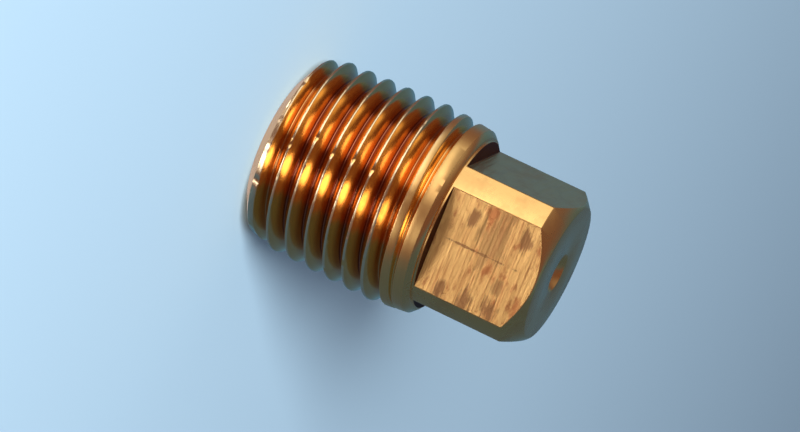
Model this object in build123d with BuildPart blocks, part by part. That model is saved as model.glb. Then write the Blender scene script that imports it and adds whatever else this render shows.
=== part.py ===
"""Brass square-head pipe plug with a 1/4-18 taper thread, turned and milled from one bar.

Millimetres. The small end face lies on z = 0 and the axis runs up +Z to the square head.
"""
from build123d import *
import os
from math import atan, atan2, cos, degrees, radians, tan

inch = 25.4

# Taper thread
threads_per_inch = 18
taper_on_diameter = 1 / 16
small_crest_dia = 13.07         # over the crests, at the small end face
thread_angle = 60
crest_flat = 0.12
root_flat = 0.08
entry_phase = 0.56              # how far below the small face the groove starts, in pitches
runout_turns = 0.67             # the last part of a turn, where the tool draws out
runout_feed = 1.04              # height gained per turn there
runout_gap = 0.99               # from the end of the groove up to the shoulder

# Thread end
small_face_dia = 9.5
small_chamfer_angle = 61        # from the axis
lead_dia = 12.5                 # at the outer edge of the chamfer
lead_length = 2.0               # from the small face up to the first full crest

# Collar and neck
shoulder_height = 12.76
shoulder_dia = 12.2
collar_dia = 12.94              # at the collar's edge
collar_chamfer_height = 0.36
back_taper_length = 3.0         # from the collar's edge down to the last full crest
neck_dia = 11.85
neck_height = 0.15              # round stretch between the shoulder and the flats

# Square head
head_height = 7.5               # from the shoulder to the end face
across_flats = 9.525
end_face_dia = 9.2
end_chamfer_angle = 40          # from the end face

# Centre-drilled dimple
dimple_dia = 2.7
dimple_angle = 60

# The cutters stand this far outside the metal that they cut
tool_clearance = 0.06

# Worked out from the sizes above
pitch = inch / threads_per_inch
slope = taper_on_diameter / 2
half_angle = thread_angle / 2
groove_mouth = pitch - crest_flat
thread_depth = (groove_mouth - root_flat) / 2 / tan(radians(half_angle))
total_height = shoulder_height + head_height
collar_edge_height = shoulder_height - collar_chamfer_height
last_crest_height = collar_edge_height - back_taper_length
flats_start = shoulder_height + neck_height
groove_start = -entry_phase * pitch
groove_end = shoulder_height - runout_gap
runout_start = groove_end - runout_turns * runout_feed


def crest_radius(height: float) -> float:
    """Radius over the thread's crests at a height."""
    return small_crest_dia / 2 + height * slope


def collar_radius(height: float) -> float:
    """Radius of the blank at a height on its back taper."""
    fall = (crest_radius(last_crest_height) - collar_dia / 2) / back_taper_length
    return collar_dia / 2 + (collar_edge_height - height) * fall


def turned_profile() -> list[tuple[float, float]]:
    """Half section of the turned blank, as radius and height, from the small face up."""
    small_chamfer_height = (lead_dia - small_face_dia) / 2 / tan(radians(small_chamfer_angle))
    end_chamfer_drop = (neck_dia - end_face_dia) / 2 * tan(radians(end_chamfer_angle))
    dimple_depth = dimple_dia / 2 / tan(radians(dimple_angle / 2))
    return [
        (0, 0),
        (small_face_dia / 2, 0),
        (lead_dia / 2, small_chamfer_height),
        (crest_radius(lead_length), lead_length),
        (crest_radius(last_crest_height), last_crest_height),
        (collar_dia / 2, collar_edge_height),
        (shoulder_dia / 2, shoulder_height),
        (neck_dia / 2, shoulder_height),
        (neck_dia / 2, total_height - end_chamfer_drop),
        (end_face_dia / 2, total_height),
        (dimple_dia / 2, total_height),
        (0, total_height - dimple_depth),
    ]


def groove_section(radius: float) -> list[tuple[float, float]]:
    """Cross section of the thread groove, as radius and height about the path's start."""
    mouth = groove_mouth / 2 + tool_clearance * tan(radians(half_angle))
    return [
        (radius - thread_depth, -root_flat / 2),
        (radius - thread_depth, root_flat / 2),
        (radius + tool_clearance, mouth),
        (radius + tool_clearance, -mouth),
    ]


# Thread groove. The full-depth part is a right-hand helix that follows the taper, and starts on +X.
# The run-out carries on from its end face along a steep cone, at a slower feed, so it grows shallow
# and leaves the blank below the collar's edge.
full_height = runout_start - groove_start
full_turn = 360 * full_height / pitch
taper_angle = degrees(atan(slope))
runout_height = groove_end - runout_start
runout_rise = collar_radius(groove_end) + tool_clearance - crest_radius(runout_start) + thread_depth
runout_angle = degrees(atan2(runout_rise, runout_height))
with BuildPart() as groove:
    with BuildLine() as full_path:
        Helix(
            pitch=pitch / cos(radians(taper_angle)),
            height=full_height,
            radius=crest_radius(groove_start),
            cone_angle=taper_angle,
        )
    with BuildLine() as runout_path:
        steep_helix = Helix(
            pitch=runout_feed / cos(radians(runout_angle)),
            height=runout_height,
            radius=crest_radius(runout_start),
            cone_angle=runout_angle,
            mode=Mode.PRIVATE,
        )
        add(steep_helix.moved(Location((0, 0, full_height), (0, 0, full_turn))))
    with BuildSketch(Plane.XZ):
        with BuildLine():
            Polyline(groove_section(crest_radius(groove_start)), close=True)
        make_face()
    sweep(path=full_path.line, is_frenet=True)
    full_end = groove.faces().filter_by(GeomType.PLANE).sort_by(Axis.Z)[-1]
    sweep(full_end, path=runout_path.line, is_frenet=True)

with BuildPart() as square_head_plug:
    # Turned blank
    with BuildSketch(Plane.XZ):
        with BuildLine():
            Polyline(turned_profile(), close=True)
        make_face()
    revolve(axis=Axis.Z)

    # Four milled flats, which leave round lands on the corners
    with BuildSketch(Plane.XY.offset(flats_start)):
        Circle(neck_dia)
        Rectangle(across_flats, across_flats, mode=Mode.SUBTRACT)
    extrude(amount=head_height, mode=Mode.SUBTRACT)

    # Thread
    with Locations((0, 0, groove_start)):
        add(groove.part, mode=Mode.SUBTRACT)

square_head_plug.part.label = "square_head_plug"

os.makedirs("parts", exist_ok=True)
export_step(square_head_plug.part, "parts/square_head_plug.step")
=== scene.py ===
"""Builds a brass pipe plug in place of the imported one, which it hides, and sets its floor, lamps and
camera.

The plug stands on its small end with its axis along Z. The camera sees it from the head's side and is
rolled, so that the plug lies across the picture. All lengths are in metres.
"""
import logging
from dataclasses import dataclass, field
from enum import Enum
from math import cos, pi, radians, sin, sqrt, tan

import bpy
import numpy as np
from mathutils import Matrix, Vector, noise


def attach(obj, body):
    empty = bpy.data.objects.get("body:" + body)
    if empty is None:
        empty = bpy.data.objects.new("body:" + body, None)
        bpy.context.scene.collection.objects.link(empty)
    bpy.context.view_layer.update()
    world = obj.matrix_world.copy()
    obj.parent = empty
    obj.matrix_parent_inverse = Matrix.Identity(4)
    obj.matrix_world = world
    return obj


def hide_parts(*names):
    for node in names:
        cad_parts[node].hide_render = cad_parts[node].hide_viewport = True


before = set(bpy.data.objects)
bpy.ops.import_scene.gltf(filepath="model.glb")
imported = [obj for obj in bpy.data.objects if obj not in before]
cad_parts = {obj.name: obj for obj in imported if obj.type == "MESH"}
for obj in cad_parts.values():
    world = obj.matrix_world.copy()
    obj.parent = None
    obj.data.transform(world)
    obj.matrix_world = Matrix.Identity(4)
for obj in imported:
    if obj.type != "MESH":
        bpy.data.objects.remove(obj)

MM = 0.001
TURN = 2 * pi
NODE = "square_head_plug"
log = logging.getLogger("plug")

Colour = tuple[float, float, float, float]
Effects = dict[str, bpy.types.NodeTree]
Node = bpy.types.Node
Socket = bpy.types.NodeSocket

CLEAN_BRASS: Colour = (0.95, 0.58, 0.21, 1)
DULL_BRASS: Colour = (0.62, 0.25, 0.09, 1)


class Surface(Enum):
    """The kinds of surface on the plug, in the order of its material slots."""

    TURNED = 0
    THREADED = 1
    MILLED = 2


def deselect() -> None:
    """Deselect every object, so that an operator acts on new work alone."""
    bpy.ops.object.select_all(action="DESELECT")


def choose(piece: bpy.types.Object) -> None:
    """Select one object alone and make it active.

    Args:
        piece: The object.
    """
    deselect()
    piece.select_set(True)
    bpy.context.view_layer.objects.active = piece


def draw_chain(name: str, points: list[tuple[float, float]]) -> bpy.types.Object:
    """Draw a chain of edges in the XZ plane, by extruding one vertex from point to point.

    Args:
        name: Name of the new object.
        points: Radius and height of each point.

    Returns:
        The new object, with its place in its mesh.
    """
    deselect()
    radius, height = points[0]
    bpy.ops.mesh.primitive_plane_add(size=MM, location=(radius, 0, height))
    piece = bpy.context.object
    piece.name = name
    bpy.ops.object.transform_apply(location=True, rotation=False, scale=False)
    bpy.ops.object.mode_set(mode="EDIT")
    bpy.ops.mesh.select_all(action="SELECT")
    bpy.ops.mesh.merge(type="CENTER")
    for start, end in zip(points, points[1:]):
        step = (end[0] - start[0], 0, end[1] - start[1])
        bpy.ops.mesh.extrude_region_move(TRANSFORM_OT_translate={"value": step})
    bpy.ops.object.mode_set(mode="OBJECT")
    return piece


def clean_up(piece: bpy.types.Object, distance: float) -> None:
    """Merge vertices that lie close together and turn all faces outwards.

    Args:
        piece: The object that is cleaned.
        distance: How close two vertices lie before they are merged.
    """
    choose(piece)
    bpy.ops.object.mode_set(mode="EDIT")
    bpy.ops.mesh.select_all(action="SELECT")
    bpy.ops.mesh.remove_doubles(threshold=distance)
    bpy.ops.mesh.normals_make_consistent(inside=False)
    bpy.ops.object.mode_set(mode="OBJECT")


def combine(piece: bpy.types.Object, cutter: bpy.types.Object, operation: str) -> None:
    """Apply one Boolean to a piece and remove the cutter.

    Args:
        piece: The object that is changed.
        cutter: The object that is used up.
        operation: DIFFERENCE or INTERSECT.
    """
    choose(piece)
    modifier = piece.modifiers.new("Combine", "BOOLEAN")
    modifier.operation = operation
    modifier.solver = "EXACT"
    modifier.object = cutter
    bpy.ops.object.modifier_apply(modifier=modifier.name)
    bpy.data.objects.remove(cutter)


@dataclass(frozen=True)
class Dent:
    """A spot where a crest was knocked or worn flat, at an azimuth in degrees and a height."""

    azimuth: float
    height: float
    deep: float = 0.10 * MM
    width: float = 0.26 * MM
    tall: float = 0.35 * MM

    def depth_at(self, x: np.ndarray, y: np.ndarray, z: np.ndarray) -> np.ndarray:
        """Work out how far the dent lowers the crest at each place.

        Args:
            x: Places along X.
            y: Places along Y.
            z: Heights of the places.

        Returns:
            The depth, which fades out round the dent.
        """
        across = np.hypot(x, y) * ((np.arctan2(y, x) - radians(self.azimuth) + pi) % TURN - pi)
        spread = (across / self.width) ** 2 + ((z - self.height) / self.tall) ** 2
        return self.deep * np.exp(-spread)


@dataclass
class PipePlug:
    """The whole plug, turned, milled and threaded like the real one."""

    # Taper thread and its run-out
    pitch: float = 25.4 / 18 * MM
    slope: float = 1 / 32
    small_crest_radius: float = 6.535 * MM
    crest_flat: float = 0.12 * MM
    root_flat: float = 0.08 * MM
    flank_angle: float = radians(30)
    entry_phase: float = 0.56
    runout_turns: float = 0.67
    runout_pitch: float = 1.04 * MM
    runout_gap: float = 0.99 * MM
    runout_clearance: float = 0.06 * MM
    # Small end
    small_face_radius: float = 4.75 * MM
    small_chamfer_angle: float = radians(61)
    lead_radius: float = 6.25 * MM
    lead_length: float = 2.0 * MM
    # Collar and neck
    shoulder_height: float = 12.76 * MM
    shoulder_radius: float = 6.1 * MM
    collar_radius: float = 6.47 * MM
    collar_chamfer_height: float = 0.36 * MM
    back_taper_length: float = 3.0 * MM
    neck_radius: float = 5.925 * MM
    neck_height: float = 0.15 * MM
    # Square head and its dimple
    head_height: float = 7.5 * MM
    half_flats: float = 9.525 / 2 * MM
    end_face_radius: float = 4.6 * MM
    end_chamfer_angle: float = radians(40)
    dimple_radius: float = 1.35 * MM
    dimple_half_angle: float = radians(30)
    # Roundings
    edge_break: float = 0.05 * MM
    root_fillet: float = 0.05 * MM
    rim_rounding: float = 0.028 * MM
    flank_bulge: float = 0.035 * MM
    line_gap: float = 0.012 * MM
    # Wear of the crests
    nick_depth: float = 0.05 * MM
    nick_size: float = 0.33 * MM
    nick_level: float = 0.28
    nick_gain: float = 1.6
    wave_size: float = 1.6 * MM
    wave_gain: float = 0.12
    nick_fade: float = 0.5 * MM
    dents: tuple[Dent, ...] = (
        Dent(-25, 1.25 * MM, deep=0.20 * MM, width=2.6 * MM, tall=0.55 * MM),
        Dent(-147, 0.96 * MM),
        Dent(-78, 1.1 * MM),
        Dent(-107, 2.36 * MM),
        Dent(-116, 3.7 * MM),
        Dent(-112, 5.2 * MM),
        Dent(-114, 6.52 * MM),
        Dent(-113, 8.0 * MM),
        Dent(-38, 6.92 * MM),
        Dent(-54, 8.14 * MM),
    )
    # Fineness, and a radius that clears the thread
    steps: int = 240
    turns: int = 13
    outside: float = 8.0 * MM
    slots: list[bpy.types.Material] = field(default_factory=list)

    @property
    def depth(self) -> float:
        """Depth of the thread from crest to root."""
        return (self.pitch - self.crest_flat - self.root_flat) / 2 / tan(self.flank_angle)

    @property
    def total_height(self) -> float:
        """Height of the head's end face."""
        return self.shoulder_height + self.head_height

    @property
    def edge_height(self) -> float:
        """Height of the collar's edge."""
        return self.shoulder_height - self.collar_chamfer_height

    @property
    def lead_foot(self) -> float:
        """Height where the small chamfer ends and the lead begins."""
        return (self.lead_radius - self.small_face_radius) / tan(self.small_chamfer_angle)

    @property
    def runout_start(self) -> float:
        """Height at which the groove begins to run out."""
        return self.shoulder_height - self.runout_gap - self.runout_turns * self.runout_pitch

    def crest_radius(self, height: np.ndarray | float) -> np.ndarray | float:
        """Radius of the taper over the crests at a height."""
        return self.small_crest_radius + height * self.slope

    def lead_slope(self) -> float:
        """Gain in radius over height along the lead."""
        rise = self.crest_radius(self.lead_length) - self.lead_radius
        return rise / (self.lead_length - self.lead_foot)

    def back_slope(self) -> float:
        """Loss in radius over height along the back taper."""
        last_crest = self.edge_height - self.back_taper_length
        return (self.crest_radius(last_crest) - self.collar_radius) / self.back_taper_length

    def land_radius(self, height: np.ndarray) -> np.ndarray:
        """Radius of the turned surface at each height, before it is threaded.

        Args:
            height: Heights above the small end face.

        Returns:
            The least of the lead, the taper and the back taper.
        """
        lead = self.lead_radius + np.maximum(height - self.lead_foot, 0) * self.lead_slope()
        back = self.collar_radius + np.maximum(self.edge_height - height, 0) * self.back_slope()
        return np.minimum(self.crest_radius(height), np.minimum(lead, back))

    def groove_height(self, turn: np.ndarray) -> np.ndarray:
        """Follow the middle of the groove, which climbs more slowly in the run-out.

        Args:
            turn: Turns from the start of the thread.

        Returns:
            The height of the groove's middle.
        """
        steady = (turn - self.entry_phase) * self.pitch
        late = np.clip((steady - self.runout_start) / self.pitch, 0, self.runout_turns)
        return steady - late * (self.pitch - self.runout_pitch)

    def root_radius(self, groove: np.ndarray) -> np.ndarray:
        """Follow the bottom of the groove, which rises to the surface in the run-out.

        Args:
            groove: Height of the groove's middle.

        Returns:
            The radius of the groove's bottom.
        """
        runout_length = self.runout_turns * self.runout_pitch
        progress = np.clip((groove - self.runout_start) / runout_length, 0, 1)
        full = self.crest_radius(np.minimum(groove, self.runout_start)) - self.depth
        end = self.land_radius(np.float64(self.runout_start + runout_length)) + self.runout_clearance
        rise = end - self.crest_radius(self.runout_start) + self.depth
        return full + progress * rise

    def blank(self) -> bpy.types.Object:
        """Spin the bar's turned outline, which stands clear of the thread between its two chamfers.

        Returns:
            The closed blank, with its edges broken and its flats milled.
        """
        corner = Vector((self.collar_radius, self.edge_height))
        chamfer = (corner - Vector((self.shoulder_radius, self.shoulder_height))).normalized()
        facet_top = corner - chamfer * self.edge_break / 2
        facet_foot = corner + Vector((0.01 * MM, -self.edge_break))
        end_drop = (self.neck_radius - self.end_face_radius) * tan(self.end_chamfer_angle)
        rise = (self.outside - self.small_face_radius) / tan(self.small_chamfer_angle)
        outline = [
            (0.0, 0.0),
            (self.small_face_radius, 0.0),
            (self.outside, rise),
            (self.outside, self.edge_height - 4 * self.edge_break),
            tuple(facet_foot),
            tuple(facet_top),
            (self.shoulder_radius, self.shoulder_height),
            (self.neck_radius, self.shoulder_height),
            (self.neck_radius, self.total_height - end_drop),
            (self.end_face_radius, self.total_height),
            (self.dimple_radius, self.total_height),
            (0.0, self.total_height - self.dimple_radius / tan(self.dimple_half_angle)),
        ]
        blank = draw_chain("plug_blank", outline)
        bpy.ops.object.mode_set(mode="EDIT")
        bpy.ops.mesh.select_all(action="SELECT")
        bpy.ops.mesh.spin(steps=self.steps, angle=TURN, center=(0, 0, 0), axis=(0, 0, 1))
        bpy.ops.object.mode_set(mode="OBJECT")
        clean_up(blank, 0.0005 * MM)
        for quarter in range(4):
            combine(blank, self.milling_cutter(quarter), "DIFFERENCE")
        clean_up(blank, 0.002 * MM)
        self.break_edges(blank)
        return blank

    def milling_cutter(self, quarter: int) -> bpy.types.Object:
        """Make the block of metal that is milled off one side of the head.

        Args:
            quarter: Which side, counted in quarter turns.

        Returns:
            The block, whose inner face is the flat.
        """
        deselect()
        reach = self.outside
        foot = self.shoulder_height + self.neck_height
        angle = quarter * pi / 2
        middle = self.half_flats + reach / 2
        place = (middle * cos(angle), middle * sin(angle), foot + reach)
        bpy.ops.mesh.primitive_cube_add(size=2 * reach, location=place, rotation=(0, 0, angle))
        cutter = bpy.context.object
        cutter.scale = (0.5, 1, 1)
        bpy.ops.object.transform_apply(location=True, rotation=True, scale=True)
        return cutter

    def break_edges(self, piece: bpy.types.Object) -> None:
        """Bevel the sharp edges by a hair, as a deburred part has them.

        Args:
            piece: The turned and milled blank.
        """
        choose(piece)
        modifier = piece.modifiers.new("Edges", "BEVEL")
        modifier.limit_method = "ANGLE"
        modifier.angle_limit = radians(24)
        modifier.width = self.edge_break
        modifier.segments = 2
        modifier.use_clamp_overlap = False
        bpy.ops.object.modifier_apply(modifier=modifier.name)

    def half_section(self, deep: np.ndarray) -> list[tuple[np.ndarray, np.ndarray]]:
        """Points of half a groove, from the middle of its root to the edge of its crest.

        Args:
            deep: Depth of the groove from its land.

        Returns:
            For each point, its height over the root and its distance from the groove's middle.
        """
        flank = tan(self.flank_angle)
        half_root = self.root_flat / 2
        rim = np.minimum(self.rim_rounding, 0.27 * deep)
        mouth = half_root + deep * flank
        foot = np.minimum(self.root_fillet, 0.1 * deep)
        zero = deep * 0
        # The root, then the bulging flank, then the rim that rounds onto the crest
        points = [(zero, zero), (foot * 0.08, zero + half_root * 0.8), (foot, half_root + foot * flank)]
        for part in (0.2, 0.4, 0.6, 0.8):
            bulge = self.flank_bulge * 4 * part * (1 - part) * deep / self.depth
            points.append((deep * part, half_root + deep * part * flank - bulge))
        points.append((deep - rim * 1.5, mouth - rim * 1.5 * flank))
        points.append((deep - rim * 0.35, mouth - rim * 0.1))
        points.append((deep, mouth + rim * 0.75))
        return [(up, np.maximum(out, self.line_gap * place)) for place, (up, out) in enumerate(points)]

    def groove_profile(self) -> list[tuple[float, float]]:
        """Put together one pitch of the thread's section.

        Returns:
            The radius of each point and its height over the groove's middle.
        """
        root = self.small_crest_radius - self.depth
        half = [(root + float(up), float(out)) for up, out in self.half_section(np.float64(self.depth))]
        half.append((self.small_crest_radius, self.pitch / 2))
        return [(radius, -height) for radius, height in reversed(half)] + half[1:]

    def thread_rod(self) -> bpy.types.Object:
        """Screw the groove's section round the axis and shape it to the lands and the run-out.

        Returns:
            A closed rod that reaches past both ends of the plug.
        """
        start = -(self.entry_phase + 2) * self.pitch
        points = [(radius, start + height) for radius, height in self.groove_profile()]
        rod = draw_chain("plug_thread", points)
        modifier = rod.modifiers.new("Thread", "SCREW")
        modifier.axis = "Z"
        modifier.screw_offset = self.pitch
        modifier.iterations = self.turns
        modifier.steps = self.steps
        modifier.render_steps = self.steps
        modifier.use_merge_vertices = False
        bpy.ops.object.modifier_apply(modifier=modifier.name)
        clean_up(rod, 0.001 * MM)
        self.shape_thread(rod)
        self.close_rod(rod)
        return rod

    def shape_thread(self, rod: bpy.types.Object) -> None:
        """Move the screwed section onto the lands, let the groove run out and wear the crests.

        Each vertex keeps its place in the section. The land under it depends on its height, which the
        section then changes, so both are worked out a few times over.

        Args:
            rod: The screwed section, whose vertices are moved.
        """
        flat = np.empty(len(rod.data.vertices) * 3)
        rod.data.vertices.foreach_get("co", flat)
        x, y, z = flat.reshape(-1, 3).T
        part_turn = np.arctan2(y, x) / TURN % 1
        turn = np.round(z / self.pitch + self.entry_phase - part_turn) + part_turn
        offset = z - (turn - self.entry_phase) * self.pitch
        half = len(self.groove_profile()) // 2
        reach = np.array([height for _, height in self.groove_profile()[half:]])
        place = np.abs(np.abs(offset)[:, None] - reach).argmin(axis=1)
        side = np.sign(offset)
        groove = self.groove_height(turn)
        next_groove = self.groove_height(turn + side)
        root = self.root_radius(groove)
        angle = part_turn * TURN
        nicks = np.array([self.nick(Vector(p)) for p in zip(x, y, z)])
        nicks *= np.clip((self.runout_start + self.nick_fade - groove) / self.nick_fade, 0, 1)
        for _ in range(4):
            land = self.land_radius(z)
            across, along = land * np.cos(angle), land * np.sin(angle)
            land = land - sum((dent.depth_at(across, along, z) for dent in self.dents), nicks)
            deep = np.maximum(land - root, 0)
            section = self.half_section(deep)
            section.append((deep, np.abs(next_groove - groove) / 2))
            up = np.choose(place, [height for height, _ in section])
            out = np.choose(place, [width for _, width in section])
            z = groove + side * out
        radius = land - deep + up
        moved = np.stack([radius * np.cos(angle), radius * np.sin(angle), z], axis=1)
        rod.data.vertices.foreach_set("co", moved.ravel())
        rod.data.update()

    def nick(self, place: Vector) -> float:
        """Find how deep the small nicks and the slow waves of wear are.

        Args:
            place: A place on the thread.

        Returns:
            The depth by which a crest would be lowered there.
        """
        fine = max(0.0, noise.noise(place / self.nick_size) - self.nick_level)
        coarse = max(0.0, noise.noise(place / self.wave_size + Vector((7, 3, 1))))
        return self.nick_depth * (fine * self.nick_gain + self.wave_gain * coarse)

    def close_rod(self, rod: bpy.types.Object) -> None:
        """Extend the rod past the head and close both of its ends on the axis.

        Args:
            rod: The shaped rod, open at both ends.
        """
        choose(rod)
        bpy.ops.object.mode_set(mode="EDIT")
        for top in (True, False):
            bpy.ops.mesh.select_mode(type="VERT")
            bpy.ops.mesh.select_all(action="DESELECT")
            bpy.ops.mesh.select_non_manifold(
                extend=False,
                use_wire=False,
                use_boundary=True,
                use_multi_face=False,
                use_non_contiguous=False,
                use_verts=False,
            )
            bpy.ops.object.mode_set(mode="OBJECT")
            middle = self.shoulder_height / 2
            for vertex in rod.data.vertices:
                vertex.select = vertex.select and (vertex.co.z > middle) == top
            for edge in rod.data.edges:
                edge.select = edge.select and all(rod.data.vertices[i].select for i in edge.vertices)
            bpy.ops.object.mode_set(mode="EDIT")
            reach = self.head_height + 2 * MM if top else -MM
            bpy.ops.mesh.extrude_region_move(TRANSFORM_OT_translate={"value": (0, 0, reach)})
            bpy.ops.mesh.extrude_region_move(TRANSFORM_OT_translate={"value": (0, 0, reach / 10)})
            bpy.ops.mesh.merge(type="CENTER")
        bpy.ops.object.mode_set(mode="OBJECT")
        clean_up(rod, 0.001 * MM)

    def build(self) -> bpy.types.Object:
        """Cut the blank with the thread and give each face its surface.

        Returns:
            The finished plug.
        """
        plug = self.thread_rod()
        combine(plug, self.blank(), "INTERSECT")
        clean_up(plug, 0.002 * MM)
        plug.name = "dressed_plug"
        for material in self.slots:
            plug.data.materials.append(material)
        for face in plug.data.polygons:
            face.material_index = self.surface_of(face).value
        choose(plug)
        bpy.ops.object.shade_smooth_by_angle(angle=radians(34))
        modifier = plug.modifiers.new("Normals", "WEIGHTED_NORMAL")
        modifier.keep_sharp = True
        bpy.ops.object.modifier_apply(modifier=modifier.name)
        return plug

    def surface_of(self, face: bpy.types.MeshPolygon) -> Surface:
        """Tell a milled flat, the thread and the turned surfaces apart by place and normal.

        Args:
            face: A face of the finished plug.

        Returns:
            The kind of surface that it belongs to.
        """
        near = 0.01 * MM
        x, y, z = face.center
        if z > self.shoulder_height + self.neck_height / 2:
            flat_x = abs(abs(x) - self.half_flats) < near and abs(face.normal.x) > 0.99
            flat_y = abs(abs(y) - self.half_flats) < near and abs(face.normal.y) > 0.99
            return Surface.MILLED if flat_x or flat_y else Surface.TURNED
        chamfer_radius = self.small_face_radius + z * tan(self.small_chamfer_angle)
        on_chamfer = z < 1.6 * MM and abs(sqrt(x * x + y * y) - chamfer_radius) < 2 * near
        on_end = z > self.edge_height or z < 2 * near
        return Surface.TURNED if on_end or on_chamfer else Surface.THREADED


@dataclass
class Sheet:
    """A node tree with short ways to add and join nodes."""

    tree: bpy.types.NodeTree

    def add(self, kind: str, inputs: dict[str | int, object] | None = None, **settings: object) -> Node:
        """Add a node.

        Args:
            kind: The node's type name.
            inputs: Values or output sockets for its inputs, by name or number.
            **settings: Properties of the node.

        Returns:
            The node.
        """
        node = self.tree.nodes.new(kind)
        for name, value in settings.items():
            setattr(node, name, value)
        for key, value in (inputs or {}).items():
            if isinstance(value, Socket):
                self.tree.links.new(value, node.inputs[key])
            else:
                node.inputs[key].default_value = value
        return node

    def math(self, operation: str, *values: object, clamp: bool = False) -> Socket:
        """Add a Math node and return its value."""
        node = self.add("ShaderNodeMath", dict(enumerate(values)), operation=operation, use_clamp=clamp)
        return node.outputs[0]

    def ramp(self, value: object, low: float, high: float, first: float = 0.0, last: float = 1.0) -> Socket:
        """Map a value smoothly from one range to another and return it."""
        inputs = {"Value": value, "From Min": low, "From Max": high, "To Min": first, "To Max": last}
        return self.add("ShaderNodeMapRange", inputs, interpolation_type="SMOOTHSTEP").outputs["Result"]

    def noise(self, vector: object, scale: float, detail: float = 3.0, rough: float = 0.5) -> Socket:
        """Add a Noise Texture, its scale in lumps to the metre, and return its value."""
        inputs = {"Vector": vector, "Scale": scale, "Detail": detail, "Roughness": rough}
        return self.add("ShaderNodeTexNoise", inputs).outputs["Fac"]

    def stretch(self, vector: object, scale: tuple, place: tuple = (0, 0, 0)) -> Socket:
        """Scale and shift a vector and return it."""
        inputs = {"Vector": vector, "Scale": scale, "Location": place}
        return self.add("ShaderNodeMapping", inputs).outputs["Vector"]

    def radius(self, parts: object) -> Socket:
        """Return the distance from the plug's axis, from the parts of a place."""
        squares = [self.math("MULTIPLY", parts[axis], parts[axis]) for axis in (0, 1)]
        return self.math("SQRT", self.math("ADD", *squares))

    def mix(self, factor: object, first: object, second: object) -> Socket:
        """Mix two colours and return the result."""
        node = self.add("ShaderNodeMix", {0: factor, 6: first, 7: second}, data_type="RGBA")
        return node.outputs[2]


def group(
    name: str, inputs: dict[str, tuple[str, object]], outputs: dict[str, str]
) -> tuple[Sheet, Node, Node]:
    """Start a shader node group.

    Args:
        name: Name of the group.
        inputs: Socket type and default value of each input.
        outputs: Socket type of each output.

    Returns:
        The sheet that holds the group, and its input and output nodes.
    """
    tree = bpy.data.node_groups.new(name, "ShaderNodeTree")
    for label, (kind, value) in inputs.items():
        socket = tree.interface.new_socket(label, in_out="INPUT", socket_type=kind)
        socket.default_value = value
    for label, kind in outputs.items():
        tree.interface.new_socket(label, in_out="OUTPUT", socket_type=kind)
    sheet = Sheet(tree)
    return sheet, sheet.add("NodeGroupInput"), sheet.add("NodeGroupOutput")


def tarnish_group() -> bpy.types.NodeTree:
    """Build the effect of brass that has lost its shine in patches.

    Returns:
        The group, with a colour and a roughness out.
    """
    inputs = {
        "Clean": ("NodeSocketColor", CLEAN_BRASS),
        "Dull": ("NodeSocketColor", DULL_BRASS),
        "Amount": ("NodeSocketFloat", 0.5),
        "Roughness": ("NodeSocketFloat", 0.2),
    }
    outputs = {"Color": "NodeSocketColor", "Roughness": "NodeSocketFloat"}
    sheet, source, result = group("tarnish", inputs, outputs)
    place = sheet.add("ShaderNodeTexCoord").outputs["Object"]
    cloud = sheet.noise(place, 420, 5, 0.62)
    speck = sheet.noise(place, 2600, 3, 0.6)
    patches = sheet.ramp(sheet.math("MULTIPLY_ADD", speck, 0.25, cloud), 0.56, 0.82)
    mask = sheet.math("MULTIPLY", patches, source.outputs["Amount"], clamp=True)
    colour = sheet.mix(mask, source.outputs["Clean"], source.outputs["Dull"])
    rough = sheet.math("MULTIPLY_ADD", mask, 0.2, source.outputs["Roughness"])
    sheet.tree.links.new(colour, result.inputs["Color"])
    sheet.tree.links.new(rough, result.inputs["Roughness"])
    return sheet.tree


def handling_group() -> bpy.types.NodeTree:
    """Build the effect of small pits and scratches from handling.

    Returns:
        The group, with a height out, which is negative in a mark.
    """
    outputs = {"Height": "NodeSocketFloat"}
    sheet, source, result = group("handling", {"Amount": ("NodeSocketFloat", 1.0)}, outputs)
    place = sheet.add("ShaderNodeTexCoord").outputs["Object"]
    pits = sheet.ramp(sheet.noise(place, 1700, 2, 0.5), 0.66, 0.74)
    along = sheet.stretch(place, (2600, 240, 900), (3, 5, 7))
    scratches = sheet.ramp(sheet.noise(along, 1, 2, 0.5), 0.66, 0.72)
    marks = sheet.math("MAXIMUM", pits, sheet.math("MULTIPLY", scratches, 0.6))
    marks = sheet.math("MULTIPLY", marks, source.outputs["Amount"])
    sheet.tree.links.new(sheet.math("MULTIPLY", marks, -1.0), result.inputs["Height"])
    return sheet.tree


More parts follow.
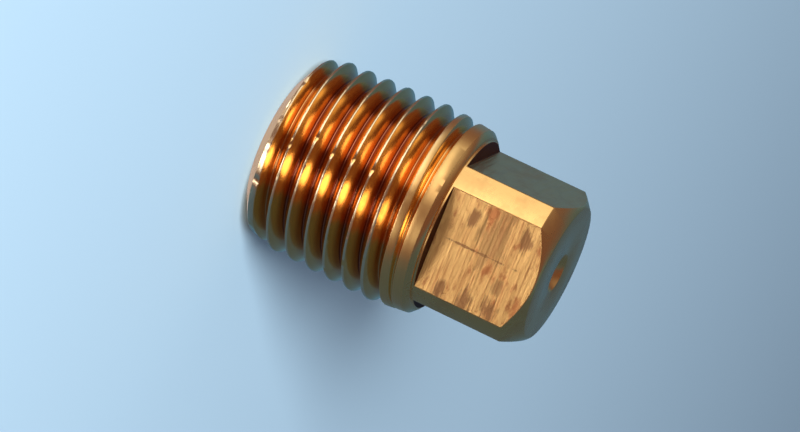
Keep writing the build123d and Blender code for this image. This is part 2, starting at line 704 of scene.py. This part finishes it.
@dataclass(frozen=True)
class BrassFinish:
    """Bare brass, as one kind of tool leaves it."""

    name: str
    clean: Colour = CLEAN_BRASS
    dull: Colour = DULL_BRASS
    roughness: float = 0.2
    tarnish: float = 0.5
    wear: float = 1.0
    relief: float = 0.004 * MM

    def start(self, effects: Effects) -> tuple[bpy.types.Material, Sheet, Node, Node, Node]:
        """Make the material with its shader and the two shared effects.

        Args:
            effects: The shared node groups by name.

        Returns:
            The material, its sheet, its shader, and its tarnish and handling nodes.
        """
        material = bpy.data.materials.new(self.name)
        material.use_nodes = True
        sheet = Sheet(material.node_tree)
        shader = material.node_tree.nodes["Principled BSDF"]
        shader.inputs["Metallic"].default_value = 1.0
        tarnish = sheet.add("ShaderNodeGroup", node_tree=effects["tarnish"])
        tarnish.inputs["Clean"].default_value = self.clean
        tarnish.inputs["Dull"].default_value = self.dull
        tarnish.inputs["Amount"].default_value = self.tarnish
        tarnish.inputs["Roughness"].default_value = self.roughness
        handling = sheet.add("ShaderNodeGroup", node_tree=effects["handling"])
        handling.inputs["Amount"].default_value = self.wear
        return material, sheet, shader, tarnish, handling

    def finish(self, sheet: Sheet, shader: Node, colour: Socket, roughness: Socket, height: Socket) -> None:
        """Join colour, roughness and relief to the shader.

        Args:
            sheet: The material's sheet.
            shader: The material's shader.
            colour: The colour of the metal.
            roughness: How dull the metal is.
            height: The relief, in which one is the finish's full depth.
        """
        bump = sheet.add("ShaderNodeBump", {"Height": height, "Strength": 1.0, "Distance": self.relief})
        sheet.tree.links.new(colour, shader.inputs["Base Color"])
        sheet.tree.links.new(roughness, shader.inputs["Roughness"])
        sheet.tree.links.new(bump.outputs["Normal"], shader.inputs["Normal"])


@dataclass(frozen=True)
class TurnedBrass(BrassFinish):
    """Fine rings round the axis, left by the turning tool, and painted shade in the corner under the flats.
    """

    crevice_height: float = PipePlug.shoulder_height
    neck_radius: float = PipePlug.neck_radius
    corner_shade: Colour = (0.10, 0.035, 0.02, 1)

    def material(self, effects: Effects) -> bpy.types.Material:
        """Build the material.

        Args:
            effects: The shared node groups by name.

        Returns:
            The material.
        """
        material, sheet, shader, tarnish, handling = self.start(effects)
        place = sheet.add("ShaderNodeTexCoord").outputs["Object"]
        parts = sheet.add("ShaderNodeSeparateXYZ", {0: place}).outputs
        radius = sheet.radius(parts)
        rings = sheet.add("ShaderNodeCombineXYZ", {0: radius, 1: 0.0, 2: parts[2]}).outputs[0]
        lines = sheet.noise(rings, 9000, 3, 0.7)
        height = sheet.math("MULTIPLY_ADD", lines, 0.25, handling.outputs["Height"])
        # Painted shade darkens the corner, which reaches from just under the shoulder to just over the foot
        # of the flats
        above = sheet.ramp(parts[2], self.crevice_height - 0.1 * MM, self.crevice_height - 0.04 * MM)
        below = sheet.ramp(parts[2], self.crevice_height + 0.22 * MM, self.crevice_height + 0.16 * MM)
        inside = sheet.ramp(radius, self.neck_radius, self.neck_radius - 0.05 * MM)
        crevice = sheet.math("MULTIPLY", sheet.math("MULTIPLY", above, below), inside)
        # The corner is painted dark as shade, and made rougher
        colour = sheet.mix(crevice, tarnish.outputs["Color"], self.corner_shade)
        rough = sheet.math("MULTIPLY_ADD", crevice, 0.35, tarnish.outputs["Roughness"])
        self.finish(sheet, shader, colour, rough, height)
        return material


@dataclass(frozen=True)
class ThreadBrass(BrassFinish):
    """Flanks burnished by the die, with fine lines along the groove, painted shade that darkens the grooves
    towards their roots, and crests painted paler as wear and painted highlight.
    """

    # The cones on which the lands lie
    crest_radius: float = PipePlug.small_crest_radius
    slope: float = PipePlug.slope
    collar_radius: float = PipePlug.collar_radius
    edge_height: float = PipePlug.shoulder_height - PipePlug.collar_chamfer_height
    back_slope: float = 0.12
    lead_radius: float = 5.955 * MM
    lead_slope: float = 0.297
    # Depth of the thread, and the colours over it: worn crests painted paler, which also stands in for
    # their highlight, and a painted shade at the root
    depth: float = 1.05 * MM
    worn: Colour = (0.98, 0.76, 0.46, 1)
    root: Colour = (0.40, 0.13, 0.07, 1)

    def material(self, effects: Effects) -> bpy.types.Material:
        """Build the material.

        Args:
            effects: The shared node groups by name.

        Returns:
            The material.
        """
        material, sheet, shader, tarnish, handling = self.start(effects)
        place = sheet.add("ShaderNodeTexCoord").outputs["Object"]
        parts = sheet.add("ShaderNodeSeparateXYZ", {0: place}).outputs
        radius = sheet.radius(parts)
        taper = sheet.math("MULTIPLY_ADD", parts[2], self.slope, self.crest_radius)
        back_foot = self.collar_radius + self.edge_height * self.back_slope
        back = sheet.math("MULTIPLY_ADD", parts[2], -self.back_slope, back_foot)
        lead = sheet.math("MULTIPLY_ADD", parts[2], self.lead_slope, self.lead_radius)
        land = sheet.math("MINIMUM", taper, sheet.math("MINIMUM", back, lead))
        deep = sheet.math("SUBTRACT", land, radius)
        across = sheet.add("ShaderNodeCombineXYZ", {0: deep, 1: 0.0, 2: 0.0}).outputs[0]
        lines = sheet.noise(across, 16000, 3, 0.7)
        # Painted shade: the grooves darken towards their roots, first towards dull brass and then to the
        # root's shade colour
        shade = sheet.ramp(deep, 0.3 * self.depth, 0.8 * self.depth, 0.0, 0.7)
        colour = sheet.mix(shade, tarnish.outputs["Color"], self.dull)
        colour = sheet.mix(sheet.ramp(deep, 0.86 * self.depth, 0.97 * self.depth), colour, self.root)
        # The crests are painted paler, as wear and as a painted highlight along them, and the collar above
        # them is left plain
        outer = sheet.ramp(deep, 0.06 * MM, 0.01 * MM)
        below_collar = sheet.ramp(parts[2], self.edge_height - 1.5 * MM, self.edge_height - 2.3 * MM)
        crest = sheet.math("MULTIPLY", outer, below_collar)
        colour = sheet.mix(crest, colour, self.worn)
        on_collar = sheet.ramp(parts[2], self.edge_height - 2.3 * MM, self.edge_height - 1.5 * MM)
        plain = sheet.math("MULTIPLY", on_collar, outer)
        rough = sheet.math("MULTIPLY_ADD", crest, 0.08, tarnish.outputs["Roughness"])
        rough = sheet.math("MULTIPLY_ADD", plain, 0.19, rough)
        knocked = sheet.math("MULTIPLY_ADD", crest, 0.9, 0.1)
        knocks = sheet.math("MULTIPLY", handling.outputs["Height"], knocked)
        height = sheet.math("MULTIPLY_ADD", lines, 0.12, knocks)
        self.finish(sheet, shader, colour, rough, height)
        return material


@dataclass(frozen=True)
class Stain:
    """A brown mark on the front flat: its middle and half sizes in millimetres, and its strength."""

    x: float
    z: float
    half_width: float
    half_height: float
    strength: float = 0.9

    def mask(self, sheet: Sheet, place: object, ragged: object) -> Socket:
        """Build the mark's mask.

        Args:
            sheet: The node tree that gets the mask.
            place: Object coordinates.
            ragged: A value about zero that frays the edge.

        Returns:
            A value from nothing off the mark to its strength at its middle.
        """
        middle = (self.x * MM, -PipePlug.half_flats, self.z * MM)
        offset = sheet.add("ShaderNodeVectorMath", {0: place, 1: middle}, operation="SUBTRACT").outputs[0]
        scale = (1 / self.half_width / MM, 2 / MM, 1 / self.half_height / MM)
        scaled = sheet.add("ShaderNodeVectorMath", {0: offset, 1: scale}, operation="MULTIPLY").outputs[0]
        far = sheet.add("ShaderNodeVectorMath", {0: scaled}, operation="LENGTH").outputs["Value"]
        return sheet.ramp(sheet.math("ADD", far, ragged), 1.15, 0.55, 0.0, self.strength)


@dataclass(frozen=True)
class MilledBrass(BrassFinish):
    """Coarse cutter marks across the flats, with brown stains."""

    stain: Colour = (0.36, 0.17, 0.07, 1)
    marks: tuple[Stain, ...] = (
        Stain(-1.5, 16.6, 2.4, 1.1, 0.55),
        Stain(-2.3, 14.9, 0.7, 0.4),
        Stain(-2.2, 18.5, 0.7, 0.45),
        Stain(2.9, 14.5, 0.8, 0.45),
        Stain(3.1, 16.2, 1.0, 0.45),
        Stain(2.9, 18.0, 1.0, 0.5),
        Stain(1.2, 18.0, 0.7, 0.5, 0.6),
        Stain(-0.3, 15.9, 0.09, 2.2),
    )

    def material(self, effects: Effects) -> bpy.types.Material:
        """Build the material.

        Args:
            effects: The shared node groups by name.

        Returns:
            The material.
        """
        material, sheet, shader, tarnish, handling = self.start(effects)
        shader.inputs["Anisotropic"].default_value = 0.75
        shader.inputs["Anisotropic Rotation"].default_value = 0.25
        place = sheet.add("ShaderNodeTexCoord").outputs["Object"]
        streaks = sheet.noise(sheet.stretch(place, (260, 260, 7000)), 1, 3, 0.6)
        bands = sheet.noise(sheet.stretch(place, (200, 200, 1500), (5, 2, 9)), 1, 2, 0.5)
        cut = sheet.math("MULTIPLY_ADD", bands, 3.2, streaks)
        cut = sheet.math("MULTIPLY", cut, 1.6)
        height = sheet.math("MULTIPLY_ADD", handling.outputs["Height"], 0.4, cut)
        cloud = sheet.noise(sheet.stretch(place, (420, 420, 900), (2, 4, 1)), 1, 4, 0.6)
        stain = sheet.ramp(cloud, 0.52, 0.64)
        lines = sheet.math("MULTIPLY", sheet.ramp(streaks, 0.52, 0.66), 0.6)
        parts = sheet.add("ShaderNodeSeparateXYZ", {0: place}).outputs
        # The flat on the side of -X has next to no dirt
        cleaner = sheet.ramp(parts[0], -4.74 * MM, -4.6 * MM, 0.12, 1.0)
        dirt = sheet.math("MULTIPLY", sheet.math("MAXIMUM", stain, lines), cleaner)
        ragged = sheet.math("MULTIPLY_ADD", cloud, 3.0, sheet.math("MULTIPLY_ADD", streaks, 2.2, -2.6))
        colour = sheet.mix(dirt, tarnish.outputs["Color"], self.dull)
        brown = 0.0
        for mark in self.marks:
            brown = sheet.math("MAXIMUM", brown, mark.mask(sheet, place, ragged))
        colour = sheet.mix(brown, colour, self.stain)
        self.finish(sheet, shader, colour, tarnish.outputs["Roughness"], height)
        return material


@dataclass(frozen=True)
class Lamp:
    """A round soft lamp, whose radiance is what the polished brass mirrors of it."""

    name: str
    azimuth: float
    elevation: float
    radiance: float
    size: float = 0.13
    distance: float = 0.3
    mirrored: bool = True

    def build(self, target: Vector) -> bpy.types.Object:
        """Place the lamp.

        Args:
            target: What it looks at.

        Returns:
            The lamp.
        """
        light = bpy.data.lights.new(self.name, "AREA")
        light.shape = "DISK"
        light.size = self.size
        light.energy = self.radiance * pi * pi * self.size ** 2 / 4
        lamp = bpy.data.objects.new(self.name, light)
        bpy.context.scene.collection.objects.link(lamp)
        back = direction(self.azimuth, self.elevation)
        lamp.location = target + back * self.distance
        lamp.rotation_euler = back.to_track_quat("Z", "Y").to_euler()
        lamp.visible_glossy = self.mirrored
        return lamp


def direction(azimuth: float, elevation: float) -> Vector:
    """Unit vector at an azimuth from +X and an elevation, both in degrees."""
    a, e = radians(azimuth), radians(elevation)
    return Vector((cos(a) * cos(e), sin(a) * cos(e), sin(e)))


@dataclass(frozen=True)
class Patch:
    """A soft round patch of the surroundings: its direction, and where it ends and is full."""

    azimuth: float
    elevation: float
    far: float
    near: float
    colour: Colour

    def mask(self, sheet: Sheet, way: Socket) -> Socket:
        """Build the patch's mask.

        Args:
            sheet: The node tree of the surroundings.
            way: The direction that is looked in.

        Returns:
            A value from nothing at the far angle off its middle to one at the near angle.
        """
        inputs = {0: way, 1: tuple(direction(self.azimuth, self.elevation))}
        facing = sheet.add("ShaderNodeVectorMath", inputs, operation="DOT_PRODUCT").outputs["Value"]
        return sheet.ramp(facing, cos(radians(self.far)), cos(radians(self.near)))


@dataclass
class Studio:
    """The pale floor, the soft surroundings, the lamps and the camera."""

    aim: Vector = field(default_factory=lambda: Vector((1.011, -0.286, 9.231)) * MM)
    azimuth: float = -105.89
    elevation: float = 13.635
    distance: float = 245.09 * MM
    roll: float = 115.584
    lens: float = 170.32
    floor_size: float = 3.0
    floor_colour: Colour = (0.40, 0.58, 0.72, 1)
    floor_glow: float = 0.06
    # The room on the upper side of the lying plug
    room_colour: Colour = (0.17, 0.09, 0.08, 1)
    ceiling: Patch = Patch(-175, 25, 48, 12, (0.40, 0.36, 0.33, 1))
    strip: Patch = Patch(-160, -12, 42, 26, (1.2, 1.2, 1.15, 1))
    glints: tuple[Patch, ...] = (
        Patch(-142, 0, 26, 2, (2.0, 1.9, 1.8, 1)),
        Patch(-76, 2, 14, 5, (1.2, 1.2, 1.15, 1)),
    )
    # The ground on its lower side, and what shades or lights it
    ground: Patch = Patch(38, 5.6, 86, 79, (0.085, 0.22, 0.38, 1))
    ground_patches: tuple[Patch, ...] = (
        Patch(-5, 10, 72, 45, (0.07, 0.12, 0.19, 1)),
        Patch(74, 40, 45, 10, (0.07, 0.12, 0.19, 1)),
        Patch(0, -90, 45, 18, (0.35, 0.47, 0.62, 1)),
        Patch(74, -36, 21, 12, (0.60, 0.57, 0.62, 1)),
    )

    def camera(self) -> None:
        """Place the camera at the picture's viewing angle."""
        data = bpy.data.cameras.new("camera")
        data.sensor_width = 36
        data.lens = self.lens
        data.clip_start = 0.01
        camera = bpy.data.objects.new("camera", data)
        bpy.context.scene.collection.objects.link(camera)
        back = direction(self.azimuth, self.elevation)
        right = (-back).cross(Vector((0, 0, 1))).normalized()
        up = right.cross(-back)
        lean = radians(self.roll)
        across = right * cos(lean) + up * sin(lean)
        upward = up * cos(lean) - right * sin(lean)
        turned = Matrix((across, upward, back)).transposed().to_4x4()
        camera.matrix_world = Matrix.Translation(self.aim + back * self.distance) @ turned
        bpy.context.scene.camera = camera

    def floor(self) -> None:
        """Lay the floor that the plug stands on, which glows a little where the camera sees it."""
        deselect()
        bpy.ops.mesh.primitive_plane_add(size=self.floor_size, location=(0, 0, 0))
        floor = bpy.context.object
        floor.name = "floor"
        material = bpy.data.materials.new("pale_floor")
        material.use_nodes = True
        sheet = Sheet(material.node_tree)
        shader = material.node_tree.nodes["Principled BSDF"]
        shader.inputs["Base Color"].default_value = self.floor_colour
        shader.inputs["Roughness"].default_value = 0.9
        shader.inputs["Specular IOR Level"].default_value = 0.0
        shader.inputs["Emission Color"].default_value = self.floor_colour
        by_camera = sheet.add("ShaderNodeLightPath").outputs["Is Camera Ray"]
        glow = sheet.math("MULTIPLY", by_camera, self.floor_glow)
        sheet.tree.links.new(glow, shader.inputs["Emission Strength"])
        floor.data.materials.append(material)
        floor.visible_glossy = False
        floor.visible_shadow = False

    def world(self) -> None:
        """Colour the surroundings: cool ground on the plug's lower side, a dim room over it."""
        world = bpy.data.worlds.new("surroundings")
        bpy.context.scene.world = world
        world.use_nodes = True
        sheet = Sheet(world.node_tree)
        background = world.node_tree.nodes["Background"]
        way = sheet.add("ShaderNodeTexCoord").outputs["Generated"]
        ground = self.ground.colour
        for patch in self.ground_patches:
            ground = sheet.mix(patch.mask(sheet, way), ground, patch.colour)
        seen = sheet.mix(self.ceiling.mask(sheet, way), self.room_colour, self.ceiling.colour)
        # The strip is a band that lies along the horizon
        height = sheet.add("ShaderNodeSeparateXYZ", {0: way}).outputs[2]
        level = sheet.math("MULTIPLY", sheet.ramp(height, -0.48, -0.30), sheet.ramp(height, 0.2, 0.0))
        band = sheet.math("MULTIPLY", level, self.strip.mask(sheet, way))
        seen = sheet.mix(band, seen, self.strip.colour)
        for patch in self.glints:
            seen = sheet.mix(patch.mask(sheet, way), seen, patch.colour)
        seen = sheet.mix(self.ground.mask(sheet, way), seen, ground)
        by_camera = sheet.add("ShaderNodeLightPath").outputs["Is Camera Ray"]
        colour = sheet.mix(by_camera, seen, self.floor_colour)
        sheet.tree.links.new(colour, background.inputs["Color"])

    def lamps(self) -> None:
        """Hang the lamps."""
        target = Vector((0, 0, 8)) * MM
        for lamp in (
            Lamp("over", -147, -50, 3.6),
            Lamp("side", -79, -35, 4.0),
            Lamp("floor_lamp", -115, 21, 90, size=0.20, distance=0.6, mirrored=False),
        ):
            lamp.build(target)


def main() -> None:
    """Build the plug and its studio."""
    logging.basicConfig(level=logging.INFO, format="%(message)s")
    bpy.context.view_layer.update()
    effects = {"tarnish": tarnish_group(), "handling": handling_group()}
    turned = TurnedBrass("turned_brass", roughness=0.26, tarnish=0.25).material(effects)
    threaded = ThreadBrass("threaded_brass", roughness=0.15, tarnish=0.2).material(effects)
    milled = MilledBrass("milled_brass", roughness=0.42, tarnish=0.2, relief=0.020 * MM).material(effects)
    plug = PipePlug(slots=[turned, threaded, milled]).build()
    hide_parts(NODE)
    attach(plug, "root")
    log.info("plug: %d faces", len(plug.data.polygons))
    studio = Studio()
    studio.floor()
    studio.world()
    studio.lamps()
    studio.camera()
    bpy.context.scene.view_settings.view_transform = "Standard"


if __name__ == "__main__":
    main()
